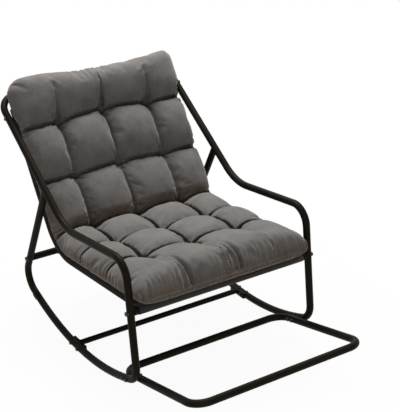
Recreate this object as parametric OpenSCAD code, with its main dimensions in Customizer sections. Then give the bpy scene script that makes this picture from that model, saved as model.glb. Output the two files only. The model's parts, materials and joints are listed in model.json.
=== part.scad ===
// Rocking lounge chair with a fixed footrest, a fabric sling and a tufted cushion.
// Bent steel tube frame that bolts together. Millimetres, +Z up, the sitter faces -Y.
// The origin is on the floor, in the middle of the whole chair.

/* [Tube] */
// Outside diameter of the frame tube
tube_d = 25; // [22:0.5:26]
// Wall of the frame tube
tube_wall = 1.5; // [1.2:0.1:2]
// Centre line radius of the tight bends: feet, arm fronts and back corners
bend_r = 66; // [56:1:72]
// How much a tube or cloth swells in a bend, on each face
bend_swell = 0.15; // [0.13:0.01:0.2]

/* [Side frames] */
// Width between the centres of the two side tubes
frame_w = 695; // [660:1:760]
// Centre line radius of the rockers
rocker_r = 962; // [900:1:1050]
// Arc of a rocker forward of the floor contact, in degrees
rocker_front_a = 23; // [22:0.1:25]
// Arc of a rocker behind the floor contact, in degrees
rocker_rear_a = 19.3; // [17:0.1:21]
// Straight run between a rocker and its front bend
front_stub = 1; // [0.5:0.5:8]
// Straight run between a rocker and its rear bend
rear_stub = 16; // [14:1:30]
// Lean of the front legs from upright, in degrees
front_leg_lean = 8; // [5:0.5:10]
// Height of the arm's front corner
arm_h = 515; // [490:1:540]
// Length of the arm between its two corners
arm_len = 416; // [390:1:440]
// Fall of the arm towards the back, in degrees
arm_slope = 9.1; // [7:0.1:11]
// Centre line radius of the wide bend behind the arm
arm_rear_r = 190; // [160:1:210]
// Rise of the back uprights above level, in degrees
upright_slope = 32.6; // [30:0.1:35]
// Height of the back's top bar
back_h = 761; // [730:1:790]
// Lean of the rear legs from upright, in degrees
rear_leg_lean = 26.7; // [25:0.1:28]

/* [Back joint] */
// Straight run of the top loop below its bend, down to the joint line
joint_run = 44; // [42:1:60]
// Length of the spigot that joins the tubes
spigot_len = 80; // [60:1:82]
// Wall of the spigot
spigot_wall = 3; // [2:0.5:4]
// Distance from the joint line up to the joint screw
joint_screw_rise = 16; // [12:1:24]

/* [Crossbars] */
// Height of the front seat bar
front_bar_h = 344; // [330:1:360]
// Height of the rear crossbar
rear_bar_h = 198; // [190:1:215]
// How far a bar's end wraps past the side of the leg
bar_wrap = 4; // [2:0.5:6]
// Length of the threaded insert in a bar's end
insert_len = 16; // [12:1:24]
// Diameter of the bolts that hold the two bars
bar_bolt_d = 8; // [6:1:8]

/* [Mid crossbar] */
// Outside diameter of the mid crossbar
mid_bar_d = 20; // [16:1:20]
// Wall of the mid crossbar
mid_bar_wall = 1.2; // [1:0.1:2]
// Height of the mid crossbar's axis
mid_bar_h = 18.5; // [16:0.5:19.5]
// Length of the saddle plate along the rocker
saddle_len = 84; // [72:1:96]
// Height of the saddle plate
saddle_h = 22; // [18:1:23]
// Thickness of the saddle plate behind the tube
saddle_web = 4; // [3:0.5:6]
// How far the saddle plate wraps round the tube
saddle_wrap = 4; // [2:0.5:6]
// Distance between the two bolts of a saddle
saddle_bolt_gap = 48; // [40:1:56]

/* [Footrest] */
// Slope of the footrest loop, in degrees
footrest_slope = 15.4; // [13:0.1:18]
// Length of the loop between its rear and front bars
footrest_len = 455; // [420:1:500]
// Centre line radius of the loop's corners
footrest_bend_r = 55; // [46:1:58]
// Distance from the rocker's front end back to where the loop crosses it
footrest_cross_in = 18.5; // [18:0.5:24]
// Distance from the crossing back to the loop's rear bar
footrest_setback = 76; // [74:1:90]
// Gap between the loop and the rocker tube
footrest_gap = 2; // [2:0.5:5]
// Distance between the two bolts on each side
footrest_bolt_gap = 22; // [20:1:23]

/* [Fasteners] */
// Diameter of the small bolts
bolt_d = 6; // [5:1:6]
// Head diameter of a small bolt
bolt_head_d = 11; // [10:0.5:12]
// Head height of a small bolt
bolt_head_h = 3.3; // [2.5:0.1:4]
// Head diameter of a bar bolt
bar_bolt_head_d = 14; // [13:0.5:15]
// Head height of a bar bolt
bar_bolt_head_h = 4.4; // [3.5:0.1:5]
// Nut width across its flats
nut_af = 10; // [9:0.5:11]
// Nut thickness
nut_h = 5; // [4:0.5:6]
// Thickness of a saddle washer at its middle
washer_t = 1.2; // [1:0.1:2]
// How far a saddle washer wraps round the tube
washer_wrap = 2.5; // [1.5:0.5:4]
// Washer rim beyond the bolt's head
washer_rim = 1; // [0.5:0.5:2]

/* [Stoppers] */
// Length of a rubber stopper along the rocker
stopper_len = 26; // [20:1:30]
// Width of a stopper
stopper_w = 14; // [10:1:18]
// Depth of a stopper below the tube
stopper_depth = 8; // [5:0.5:12]
// Diameter of the stem that holds a stopper
stopper_stem_d = 6; // [4:0.5:8]

/* [Sling] */
// Width of the sling
sling_w = 638; // [570:1:648]
// Thickness of the sling cloth
sling_t = 1.5; // [1:0.1:2.5]
// Distance behind the front bar to the corner of the seat and back lines
hip_back = 588; // [560:1:620]
// Fall of the seat line towards the back, in degrees
seat_fall = 6.9; // [4:0.1:9]
// Radius of the sling at the hip
hip_r = 175; // [140:1:200]
// Length of the notch in the sling's top corners
notch_len = 45; // [35:1:60]
// Gap from the top sleeve's end to the bend
sleeve_gap = 5; // [3:1:12]
// Width of the panel that ties the hip to the rear crossbar
tie_w = 475; // [400:1:560]
// Place of the panel's seam along the hip's bend, from 0 to 1
tie_seam = 0.5; // [0.3:0.05:0.6]

/* [Cushion] */
// Gap between the cushion's sides and the side tubes
cushion_gap = 5; // [4:0.5:40]
// Thickness of a puff at its crown
crown_t = 116; // [95:1:120]
// Thickness along the creases
crease_t = 84; // [70:1:95]
// Thickness at a tuft
tuft_t = 52; // [42:1:66]
// Height of the edge seam above the sling
seam_t = 48; // [36:1:56]
// Length of cushion that overhangs the front bar
front_over = 48; // [40:1:56]
// Length of cushion above the top bar
top_over = 42; // [36:1:56]
// Length over which the cushion's two ends round off
end_roll = 60; // [50:1:80]
// Distance between the columns of tufts
tuft_pitch = 189; // [170:1:200]
// How far a tuft row draws the sides in
side_draw = 18; // [4:1:20]
// Share of the cushion's height that its loose filling takes, inside the cover
filling_share = 0.84; // [0.75:0.01:0.94]
// Margin between the filling's rim and the edge seam
filling_rim = 8; // [5:1:16]
// Width of the slot in the underside through which the cover is filled
slot_w = 60; // [30:5:120]
// Gap of that slot
slot_gap = 4; // [3:1:8]

/* [Fits] */
// Clearance between mating metal parts
fit = 0.1; // [0.05:0.05:0.3]
// Clearance of bolt holes, in diameter
hole_fit = 0.4; // [0.2:0.1:0.8]
// Clearance between the cushion and what it lies on
rest_gap = 0.4; // [0.3:0.1:1]

/* [Hidden] */

round_fn = 48;
arc_fn = 720;
run_lap = 0.3;

tube_r = tube_d / 2;
bore_r = tube_r - tube_wall;
bend_seat_r = tube_r + bend_swell + fit;
side_x = frame_w / 2;

function dir(a) = [cos(a), sin(a)];
function left(a) = [-sin(a), cos(a)];
function heading(p, q) = atan2(q[1] - p[1], q[0] - p[0]);
function wrap(a) = a > 180 ? a - 360 : (a < -180 ? a + 360 : a);
function turn_at(pts, i) = wrap(heading(pts[i], pts[i + 1]) - heading(pts[i - 1], pts[i]));
function cut_back(r, turn) = r * tan(abs(turn) / 2);

// Side view of the frame in [y, z], with y = 0 over the floor contact of the rockers.
rocker_c = [0, tube_r + rocker_r];
rocker_front = rocker_c + rocker_r * dir(-90 - rocker_front_a);
rocker_rear = rocker_c + rocker_r * dir(-90 + rocker_rear_a);
rocker_half_a = (rocker_front_a + rocker_rear_a) / 2;
rocker_mid_a = -90 + (rocker_rear_a - rocker_front_a) / 2;
rocker_v = rocker_c + rocker_r / cos(rocker_half_a) * dir(rocker_mid_a);
front_turn = 90 + front_leg_lean - rocker_front_a;
rear_turn = 90 + rear_leg_lean - rocker_rear_a;
front_foot_v = rocker_front - (front_stub + cut_back(bend_r, front_turn)) * dir(-rocker_front_a);
rear_foot_v = rocker_rear + (rear_stub + cut_back(bend_r, rear_turn)) * dir(rocker_rear_a);
arm_front_v = [
  front_foot_v[0] + (arm_h - front_foot_v[1]) * tan(front_leg_lean),
  arm_h
];
arm_rear_v = arm_front_v + arm_len * dir(-arm_slope);
upright_len = (back_h - arm_rear_v[1]) / sin(upright_slope);
top_v = arm_rear_v + upright_len * dir(upright_slope);
joint_drop = bend_r + joint_run;
joint_p = top_v - joint_drop * dir(upright_slope);
joint_screw_p = joint_p + joint_screw_rise * dir(upright_slope);
rear_leg_dir = dir(90 + rear_leg_lean);
leg_to_upright = rear_foot_v - arm_rear_v;
rear_leg_len = (leg_to_upright[0] * sin(upright_slope) - leg_to_upright[1] * cos(upright_slope))
  / (rear_leg_dir[1] * cos(upright_slope) - rear_leg_dir[0] * sin(upright_slope));
rear_leg_top = rear_foot_v + rear_leg_len * rear_leg_dir;
side_path = [joint_p, arm_rear_v, arm_front_v, front_foot_v, rocker_v, rear_foot_v, rear_leg_top];
side_radii = [0, arm_rear_r, bend_r, bend_r, rocker_r, bend_r, 0];

// Crossbars: each axis crosses the axis of its leg.
front_bar_p = front_foot_v + (front_bar_h - front_foot_v[1]) * [tan(front_leg_lean), 1];
rear_bar_p = rear_foot_v + (rear_bar_h - rear_foot_v[1]) * [-tan(rear_leg_lean), 1];
bar_end_x = side_x - tube_r + bar_wrap;
insert_x = side_x - tube_r - fit;

// Mid crossbar and its saddles.
saddle_x = side_x - tube_r - saddle_web;
saddle_half_a = saddle_len / 2 / rocker_r * 180 / PI;
saddle_bolt_a = saddle_bolt_gap / 2 / rocker_r * 180 / PI;
saddle_bolts = [
  for (s = [-1, 1])
    rocker_c + rocker_r * dir(-90 + s * saddle_bolt_a)
];

// Footrest loop: its side tubes lie inboard of the rockers.
loop_x = side_x - tube_d - footrest_gap;
loop_dir = dir(180 - footrest_slope);
loop_cross = rocker_c + rocker_r * dir(-90 - rocker_front_a + footrest_cross_in / rocker_r * 180 / PI);
loop_rear = loop_cross - footrest_setback * loop_dir;
loop_front = loop_rear + footrest_len * loop_dir;
loop_bolts = [
  for (s = [-1, 1])
    loop_cross + s * footrest_bolt_gap / 2 * loop_dir
];

// The middle of the chair's whole length comes to y = 0.
rear_edge = top_v[0] + tube_r + rest_gap + sling_t;
front_edge = loop_front[0] - tube_r;
y_shift = -(rear_edge + front_edge) / 2;

// Sling line: from the front bar to the hip and up to the top bar.
sleeve_r = tube_r + rest_gap + sling_t;
hip_v = front_bar_p + hip_back * dir(-seat_fall);
back_rise = heading(hip_v, top_v);
hip_turn = back_rise + seat_fall;
hip_cut = cut_back(hip_r, hip_turn);
seat_run = hip_back - hip_cut;
hip_run = hip_r * hip_turn * PI / 180;
back_run = norm(top_v - hip_v) - hip_cut;
hip_start = hip_v - hip_cut * dir(-seat_fall);
hip_c = hip_start + hip_r * left(-seat_fall);
sleeve_w = frame_w - 2 * bend_r - 2 * sleeve_gap;
tie_p = hip_c + hip_r * dir(-90 - seat_fall + tie_seam * hip_turn);
tie_a = heading(tie_p, rear_bar_p);

// Heading and place of the sling line at a distance s behind the front bar.
function line_a(s) = s < seat_run ? -seat_fall
  : (s < seat_run + hip_run ? -seat_fall + (s - seat_run) / hip_run * hip_turn : back_rise);
function line_p(s) = s < seat_run ? front_bar_p + s * dir(-seat_fall)
  : (s < seat_run + hip_run ? hip_c - hip_r * left(line_a(s))
  : top_v + (s - seat_run - hip_run - back_run) * dir(back_rise));

// Places a shape drawn in the side view: drawing x, y, z become y, z, x.
module side_view(x = 0) {
  translate([x, y_shift, 0])
    rotate([90, 0, 90])
      children();
}

// The straight run i of a path, with the section that is given. It laps into the bends.
module path_run(pts, radii, i) {
  a = heading(pts[i], pts[i + 1]);
  from = i == 0 ? 0 : cut_back(radii[i], turn_at(pts, i)) - run_lap;
  to = i + 2 == len(pts) ? 0 : cut_back(radii[i + 1], turn_at(pts, i + 1)) - run_lap;
  translate(pts[i] + from * dir(a))
    rotate([0, 0, a])
      rotate([90, 0, 90])
        linear_extrude(norm(pts[i + 1] - pts[i]) - from - to)
          children();
}

// The bend at point i of a path. The section's x is in the plane of the path.
module path_bend(pts, radii, i) {
  turn = turn_at(pts, i);
  a = heading(pts[i - 1], pts[i]);
  side = turn > 0 ? 1 : -1;
  start = pts[i] - cut_back(radii[i], turn) * dir(a);
  translate(start + side * radii[i] * left(a))
    rotate([0, 0, side > 0 ? a - 90 : a + 90 + turn])
      rotate_extrude(angle = abs(turn), $fn = radii[i] > 500 ? arc_fn : 2 * round_fn)
        translate([radii[i], 0])
          children();
}

module ring(r, wall) {
  difference() {
    circle(r, $fn = round_fn);
    circle(r - wall, $fn = round_fn);
  }
}

module tube_runs(pts, radii, first, last) {
  for (i = [first : last])
    path_run(pts, radii, i)
      ring(tube_r, tube_wall);
}

module tube_bends(pts, radii) {
  for (i = [1 : len(pts) - 2])
    path_bend(pts, radii, i)
      ring(tube_r + bend_swell, tube_wall + 2 * bend_swell);
}

module tube_path(pts, radii) {
  tube_runs(pts, radii, 0, len(pts) - 2);
  tube_bends(pts, radii);
}

// A round bar across the chair, from x1 to x2, at a place in the side view.
module cross(p, r, x1, x2, fn = round_fn) {
  side_view(x1)
    translate(p)
      cylinder(r = r, h = x2 - x1, $fn = fn);
}

// The solid of a rocker's arc with its front stub, and of a straight tube through a point.
module rocker_solid(x, r) {
  front_a = rocker_front_a + (front_stub + 2 * run_lap) / rocker_r * 180 / PI;
  side_view(x)
    translate(rocker_c)
      rotate([0, 0, -90 - front_a])
        rotate_extrude(angle = front_a + rocker_rear_a, $fn = arc_fn)
          translate([rocker_r, 0])
            circle(r, $fn = round_fn);
}

module line_solid(x, p, a, r, len) {
  side_view(x)
    translate(p - len / 2 * dir(a))
      rotate([0, 0, a])
        rotate([90, 0, 90])
          cylinder(r = r, h = len, $fn = round_fn);
}

module leg_solid(x, p, lean, r) {
  line_solid(x, p, 90 + lean, r, 6 * tube_d);
}

module side_frame(s) {
  x = s * side_x;
  color([0.07, 0.07, 0.065])
    difference() {
      union() {
        side_view(x) {
          tube_runs(side_path, side_radii, 0, 4);
          tube_bends(side_path, side_radii);
        }
        difference() {
          side_view(x)
            tube_runs(side_path, side_radii, 5, 5);
          line_solid(x, rear_leg_top, upright_slope, tube_r - tube_wall / 2, tube_d * 4);
        }
      }
      frame_holes(s);
    }
}

// Holes in a side frame for its bolts and its stopper.
module frame_holes(s) {
  x1 = s * side_x - tube_d;
  x2 = s * side_x + tube_d;
  for (p = [front_bar_p, rear_bar_p])
    cross(p, (bar_bolt_d + hole_fit) / 2, x1, x2);
  for (p = concat(saddle_bolts, loop_bolts))
    cross(p, (bolt_d + hole_fit) / 2, x1, x2);
  side_view(s * side_x)
    translate(rocker_rear)
      rotate([0, 0, rocker_rear_a])
        rotate([90, 0, 0])
          cylinder(d = stopper_stem_d + 2 * fit, h = tube_d, $fn = round_fn);
}

module right_side_frame() {
  side_frame(-1);
}

module left_side_frame() {
  side_frame(1);
}

// The back's top bar with its two corners, in the plane of the uprights.
module back_top_loop() {
  corner = [
    [-side_x, -joint_drop],
    [-side_x, 0],
    [side_x, 0],
    [side_x, -joint_drop]
  ];
  color([0.07, 0.07, 0.065])
    difference() {
      translate([0, y_shift + top_v[0], top_v[1]])
        rotate([upright_slope, 0, 0])
          tube_path(corner, [0, bend_r, bend_r, 0]);
      cross(joint_screw_p, (bolt_d + hole_fit) / 2, side_x, side_x + tube_d);
      cross(joint_screw_p, (bolt_d + hole_fit) / 2, -side_x - tube_d, -side_x);
    }
}

module back_spigots() {
  color([0.55, 0.56, 0.58])
    for (s = [-1, 1])
      difference() {
        side_view(s * side_x)
          path_run([joint_p - spigot_len / 2 * dir(upright_slope),
            joint_p + spigot_len / 2 * dir(upright_slope)], [0, 0], 0)
            ring(bore_r - fit, spigot_wall);
        cross(joint_screw_p, bolt_d / 2 + fit, s > 0 ? side_x : -side_x - tube_d,
          s > 0 ? side_x + tube_d : -side_x);
      }
}

// A bolt along x with its head on the outer side s, from its tip to its seat.
module bolt(s, p, tip_x, seat_x, d, head_d, head_h) {
  cross(p, d / 2, s > 0 ? tip_x : -seat_x, s > 0 ? seat_x : -tip_x);
  difference() {
    cross(p, head_d / 2, s > 0 ? seat_x : -seat_x - head_h, s > 0 ? seat_x + head_h : -seat_x);
    cross(p, d / 3, s > 0 ? seat_x + head_h / 2 : -seat_x - head_h - 1,
      s > 0 ? seat_x + head_h + 1 : -seat_x - head_h / 2, 6);
  }
}

seat_out = side_x + tube_r + washer_t;

module back_screws() {
  tip = side_x + bore_r - fit - spigot_wall;
  color([0.2, 0.2, 0.2])
    for (s = [-1, 1])
      bolt(s, joint_screw_p, tip, side_x + tube_r + fit, bolt_d, bolt_head_d, bolt_head_h);
}

// A bar across the chair whose ends are cut to seat on the legs.
module leg_bar(p, lean) {
  difference() {
    cross(p, tube_r, -bar_end_x, bar_end_x);
    cross(p, bore_r, -bar_end_x - 1, bar_end_x + 1);
    for (s = [-1, 1])
      leg_solid(s * side_x, p, lean, tube_r + fit);
  }
}

module front_seat_bar() {
  color([0.07, 0.07, 0.065])
    leg_bar(front_bar_p, -front_leg_lean);
}

module rear_crossbar() {
  color([0.07, 0.07, 0.065])
    leg_bar(rear_bar_p, rear_leg_lean);
}

module crossbar_inserts() {
  color([0.55, 0.56, 0.58])
    for (s = [-1, 1], p = [front_bar_p, rear_bar_p])
      difference() {
        cross(p, bore_r - fit, s > 0 ? insert_x - insert_len : -insert_x,
          s > 0 ? insert_x : insert_len - insert_x);
        cross(p, bar_bolt_d / 2 + fit, s > 0 ? insert_x - insert_len - 1 : -insert_x - 1,
          s > 0 ? insert_x + 1 : insert_len - insert_x + 1);
      }
}

module crossbar_bolts() {
  color([0.2, 0.2, 0.2])
    for (s = [-1, 1], p = [front_bar_p, rear_bar_p])
      bolt(s, p, insert_x - insert_len + 1, seat_out, bar_bolt_d, bar_bolt_head_d,
        bar_bolt_head_h);
}

// A round washer with one face cut to the tube that it sits on.
module blank_washer(s, p, x, head_d, d, inward = false) {
  flip = inward ? -s : s;
  x1 = x + flip * (tube_r - washer_wrap);
  x2 = x + flip * (tube_r + washer_t);
  difference() {
    cross(p, head_d / 2 + washer_rim, min(x1, x2), max(x1, x2));
    cross(p, (d + hole_fit) / 2, min(x1, x2) - 1, max(x1, x2) + 1);
  }
}

module crossbar_washers() {
  color([0.2, 0.2, 0.2])
    for (s = [-1, 1])
      for (k = [[front_bar_p, -front_leg_lean], [rear_bar_p, rear_leg_lean]])
        difference() {
          blank_washer(s, k[0], s * side_x, bar_bolt_head_d, bar_bolt_d);
          leg_solid(s * side_x, k[0], k[1], tube_r + fit);
        }
}

module mid_crossbar() {
  p = [0, mid_bar_h];
  color([0.07, 0.07, 0.065])
    difference() {
      cross(p, mid_bar_d / 2, -saddle_x, saddle_x);
      cross(p, mid_bar_d / 2 - mid_bar_wall, -saddle_x - 1, saddle_x + 1);
    }
}

// Plates that follow the rockers and carry the mid crossbar's ends.
module mid_bar_saddles() {
  color([0.07, 0.07, 0.065])
    for (s = [-1, 1])
      difference() {
        side_view()
          translate(rocker_c)
            rotate([0, 0, -90 - saddle_half_a])
              rotate_extrude(angle = 2 * saddle_half_a, $fn = arc_fn)
                difference() {
                  translate([rocker_r - saddle_h / 2,
                    s > 0 ? saddle_x : -saddle_x - saddle_web - saddle_wrap])
                    square([saddle_h, saddle_web + saddle_wrap]);
                  translate([rocker_r, s * side_x])
                    circle(bend_seat_r, $fn = round_fn);
                }
        for (p = saddle_bolts)
          cross(p, (bolt_d + hole_fit) / 2, s * side_x - tube_d, s * side_x + tube_d);
      }
}

module mid_bar_bolts() {
  color([0.2, 0.2, 0.2])
    for (s = [-1, 1], p = saddle_bolts)
      bolt(s, p, saddle_x - nut_h - 2, seat_out, bolt_d, bolt_head_d, bolt_head_h);
}

// A hexagon nut whose outer face stands at x on side s.
module nut(s, p, x) {
  difference() {
    cross(p, nut_af / sqrt(3), s > 0 ? x - nut_h : -x, s > 0 ? x : nut_h - x, 6);
    cross(p, bolt_d / 2 + fit, s > 0 ? x - nut_h - 1 : -x - 1, s > 0 ? x + 1 : nut_h - x + 1);
  }
}

module mid_bar_nuts() {
  color([0.2, 0.2, 0.2])
    for (s = [-1, 1], p = saddle_bolts)
      nut(s, p, saddle_x);
}

module footrest_loop() {
  corner = [
    [0, 0],
    [loop_x, 0],
    [loop_x, footrest_len],
    [-loop_x, footrest_len],
    [-loop_x, 0],
    [0, 0]
  ];
  r = footrest_bend_r;
  color([0.07, 0.07, 0.065])
    difference() {
      translate([0, y_shift + loop_rear[0], loop_rear[1]])
        rotate([180 - footrest_slope, 0, 0])
          tube_path(corner, [0, r, r, r, r, 0]);
      for (s = [-1, 1], p = loop_bolts)
        cross(p, (bolt_d + hole_fit) / 2, s * loop_x - tube_d, s * loop_x + tube_d);
    }
}

loop_seat_in = loop_x - tube_r - washer_t;

module footrest_bolts() {
  color([0.2, 0.2, 0.2])
    for (s = [-1, 1], p = loop_bolts)
      bolt(s, p, loop_seat_in - nut_h - 2, seat_out, bolt_d, bolt_head_d, bolt_head_h);
}

module footrest_nuts() {
  color([0.2, 0.2, 0.2])
    for (s = [-1, 1], p = loop_bolts)
      nut(s, p, loop_seat_in);
}

spacer_x = (loop_x + side_x) / 2;

module footrest_spacers() {
  color([0.12, 0.12, 0.12])
    for (s = [-1, 1], p = loop_bolts)
      difference() {
        cross(p, bolt_head_d / 2 + washer_rim, s * spacer_x - footrest_gap / 2 - washer_wrap,
          s * spacer_x + footrest_gap / 2 + washer_wrap);
        cross(p, (bolt_d + hole_fit) / 2, s * side_x - 2 * tube_d, s * side_x + tube_d);
        rocker_solid(s * side_x, bend_seat_r);
        line_solid(s * loop_x, loop_cross, -footrest_slope, tube_r + fit, 4 * tube_d);
      }
}

module saddle_washers() {
  color([0.2, 0.2, 0.2])
    for (s = [-1, 1]) {
      for (p = concat(saddle_bolts, loop_bolts))
        difference() {
          blank_washer(s, p, s * side_x, bolt_head_d, bolt_d);
          rocker_solid(s * side_x, bend_seat_r);
        }
      for (p = loop_bolts)
        difference() {
          blank_washer(s, p, s * loop_x, bolt_head_d, bolt_d, true);
          line_solid(s * loop_x, loop_cross, -footrest_slope, tube_r + fit, 4 * tube_d);
        }
    }
}

// Rubber blocks under the rear ends of the rockers, held by a stem in the tube.
module rocker_stoppers() {
  color([0.05, 0.05, 0.05])
    for (s = [-1, 1]) {
      difference() {
        side_view(s * side_x - stopper_w / 2)
          translate(rocker_rear)
            rotate([0, 0, rocker_rear_a])
              translate([-stopper_len / 2, -tube_r - stopper_depth, 0])
                cube([stopper_len, stopper_depth + tube_r / 2, stopper_w]);
        rocker_solid(s * side_x, bend_seat_r);
        line_solid(s * side_x, rocker_rear + stopper_len * dir(rocker_rear_a), rocker_rear_a,
          tube_r + fit, 2 * stopper_len);
      }
      side_view(s * side_x)
        translate(rocker_rear - (tube_r + stopper_depth / 2) * left(rocker_rear_a))
          rotate([0, 0, rocker_rear_a])
            rotate([-90, 0, 0])
              cylinder(d = stopper_stem_d, h = stopper_depth / 2 + 2 * tube_wall, $fn = round_fn);
    }
}

module sling_strip(pts, radii, w) {
  side_view() {
    for (i = [0 : len(pts) - 2])
      path_run(pts, radii, i)
        square([sling_t, w], center = true);
    if (len(pts) > 2)
      for (i = [1 : len(pts) - 2])
        path_bend(pts, radii, i)
          square([sling_t + 2 * bend_swell, w], center = true);
  }
}

module seat_sling() {
  color([0.1, 0.095, 0.09])
    difference() {
      union() {
        sling_strip([front_bar_p, hip_v, top_v], [0, hip_r, 0], sling_w);
        cross(front_bar_p, sleeve_r, -sling_w / 2, sling_w / 2);
        cross(top_v, sleeve_r, -sleeve_w / 2, sleeve_w / 2);
      }
      cross(front_bar_p, tube_r + rest_gap, -sling_w, sling_w);
      cross(top_v, tube_r + rest_gap, -sling_w, sling_w);
      for (s = [-1, 1])
        side_view(s > 0 ? sleeve_w / 2 : -sleeve_w / 2 - sling_w)
          translate(top_v)
            rotate([0, 0, back_rise])
              translate([-notch_len, -sleeve_r, 0])
                cube([2 * notch_len, 2 * sleeve_r, sling_w]);
    }
}

module sling_tie_panel() {
  color([0.1, 0.095, 0.09])
    difference() {
      union() {
        sling_strip([tie_p, rear_bar_p], [0, 0], tie_w);
        cross(rear_bar_p, sleeve_r, -tie_w / 2, tie_w / 2);
      }
      cross(rear_bar_p, tube_r + rest_gap, -sling_w, sling_w);
      side_view(-sling_w / 2)
        translate(hip_c)
          cylinder(r = hip_r + sling_t / 2 + bend_swell + fit, h = sling_w, $fn = arc_fn / 3);
    }
}

// Cushion: a tufted pad that follows the sling line. Rows run along it, columns across it.
// The cover is solid and its loose fibre filling is a hollow in it, with a coarser grid.
tuft_rows = 5;
puff_steps = 4;
cushion_w = frame_w - tube_d - 2 * cushion_gap;
cushion_len = front_over + seat_run + hip_run + back_run + top_over;
puff_len = cushion_len / (tuft_rows + 1);
end_steps = [0.04, 0.14];
edge_steps = [0.35, 0.7, 0.94];

function rows(steps, ends) = concat(
  [0], ends,
  [for (i = [1 : (tuft_rows + 1) * steps - 1]) i / steps],
  [for (k = [len(ends) - 1 : -1 : 0]) tuft_rows + 1 - ends[k]],
  [tuft_rows + 1]
);
function columns(steps, edges) = concat(
  [-2], [for (k = [len(edges) - 1 : -1 : 0]) -1 - edges[k]],
  [for (i = [-steps : steps]) i / steps],
  [for (e = edges) 1 + e], [2]
);

// A puff's rise between two creases, and the fall to the seam at an edge.
function puff(u) = pow(sin(180 * (u - floor(u))), 0.6);
function fall(t) = sqrt(max(0, 1 - pow(t, 4)));
function row_fall(u) = fall(max(0, 1 - min(u, tuft_rows + 1 - u) * puff_len / end_roll));
function col_fall(v) = fall(max(0, abs(v) - 1));
function row_puff(u) = abs(u - round(u)) < 0.001 ? (u < 1 || u > tuft_rows ? 1 : 0)
  : (u < 0.5 || u > tuft_rows + 0.5 ? 1 : puff(u));
function col_puff(v) = abs(v) > 1.35 ? 1 : (abs(abs(v) - 1) < 0.001 || abs(v) < 0.001 ? 0
  : (abs(v) > 1 ? 0.85 : puff(abs(v))));
function height(u, v) = tuft_t
  + (crease_t - tuft_t) * max(row_puff(u), col_puff(v))
  + (crown_t - crease_t) * row_puff(u) * col_puff(v);
function half_w(u) = cushion_w / 2 - side_draw * (1 - row_puff(u));
function col_x(u, v) = sign(v) * (abs(v) <= 1 ? abs(v) * tuft_pitch
  : tuft_pitch + (abs(v) - 1) * (half_w(u) - tuft_pitch));

// Height of the underside over the sling line: it clears both sleeves.
bar_clear = sleeve_r + rest_gap;
function base(s) = let (
  cloth = sling_t / 2 + bend_swell + rest_gap,
  from_bar = min(abs(s), abs(seat_run + hip_run + back_run - s)),
  over = s < 0 || s > seat_run + hip_run + back_run,
  lift = (bar_clear - cloth) * max(0, from_bar - sleeve_r) / (3 * sleeve_r))
  over ? bar_clear : max(cloth, bar_clear - lift);

// A point of the cover's outside, or of its hollow.
function cover_p(u, v, top) = let (
  s = u * puff_len - front_over,
  e = row_fall(u) * col_fall(v))
  [col_x(u, v), s, top ? seam_t + (height(u, v) - seam_t) * e : seam_t - (seam_t - base(s)) * e];
function within(x, low, high) = max(low, min(high, x));
function hollow_p(u, v, top) = let (
  p = cover_p(u, v, top),
  x_max = half_w(u) - filling_rim,
  mid = (p[2] + cover_p(u, v, !top)[2]) / 2)
  [within(p[0], -x_max, x_max),
    within(p[1], filling_rim - front_over, cushion_len - front_over - filling_rim),
    mid + (p[2] - mid) * filling_share];
function on_line(p) = let (q = line_p(p[1]) + p[2] * left(line_a(p[1]))) [p[0], q[0] + y_shift, q[1]];

// Numbers of the points of a closed pad, whose top and underside share their rim.
function on_rim(i, j, n, m) = i == 0 || j == 0 || i == n || j == m;
function top_id(i, j, m) = i * (m + 1) + j;
function low_id(i, j, n, m) = on_rim(i, j, n, m) ? top_id(i, j, m)
  : (n + 1) * (m + 1) + (i - 1) * (m - 1) + j - 1;

// The corners of a cell, seen from outside, and the triangle k of a cell split from corner c.
function corners(i, j, n, m, top) = top
  ? [top_id(i, j, m), top_id(i + 1, j, m), top_id(i + 1, j + 1, m), top_id(i, j + 1, m)]
  : [low_id(i, j, n, m), low_id(i, j + 1, n, m), low_id(i + 1, j + 1, n, m), low_id(i + 1, j, n, m)];
function half_cell(q, c, k) = k == 0 ? [q[c], q[c + 1], q[c + 2]] : [q[c], q[c + 2], q[(c + 3) % 4]];

module pad(row_u, col_v, hollow) {
  n = len(row_u) - 1;
  m = len(col_v) - 1;
  points = concat(
    [for (i = [0 : n], j = [0 : m]) on_line(hollow ? hollow_p(row_u[i], col_v[j], true)
      : cover_p(row_u[i], col_v[j], true))],
    [for (i = [1 : n - 1], j = [1 : m - 1]) on_line(hollow ? hollow_p(row_u[i], col_v[j], false)
      : cover_p(row_u[i], col_v[j], false))]
  );
  faces = [
    for (i = [0 : n - 1], j = [0 : m - 1], top = [true, false], k = [0, 1])
      half_cell(corners(i, j, n, m, top), (i < n / 2) == (j < m / 2) ? 0 : 1, k)
  ];
  polyhedron(points, faces, convexity = 8);
}

module cushion() {
  color([0.36, 0.35, 0.33])
    difference() {
      pad(rows(puff_steps, end_steps), columns(puff_steps, edge_steps), false);
      pad(rows(2, [0.14, 0.25]), columns(2, [0.35, 0.7]), true);
      side_view(-slot_w / 2)
        translate(line_p(seat_run / 2))
          rotate([0, 0, -seat_fall])
            cube([slot_gap, tuft_t / 2, slot_w]);
    }
}

right_side_frame();
left_side_frame();
back_top_loop();
back_spigots();
back_screws();
front_seat_bar();
rear_crossbar();
crossbar_inserts();
crossbar_bolts();
crossbar_washers();
mid_crossbar();
mid_bar_saddles();
mid_bar_bolts();
mid_bar_nuts();
footrest_loop();
footrest_bolts();
footrest_nuts();
footrest_spacers();
saddle_washers();
rocker_stoppers();
seat_sling();
sling_tie_panel();
cushion();
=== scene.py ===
"""Looks of the outdoor rocking chair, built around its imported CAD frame. Metres, +Z up."""

import json
import math
from collections import namedtuple

import bmesh
import bpy
import numpy as np
from mathutils import Matrix, Vector


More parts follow.
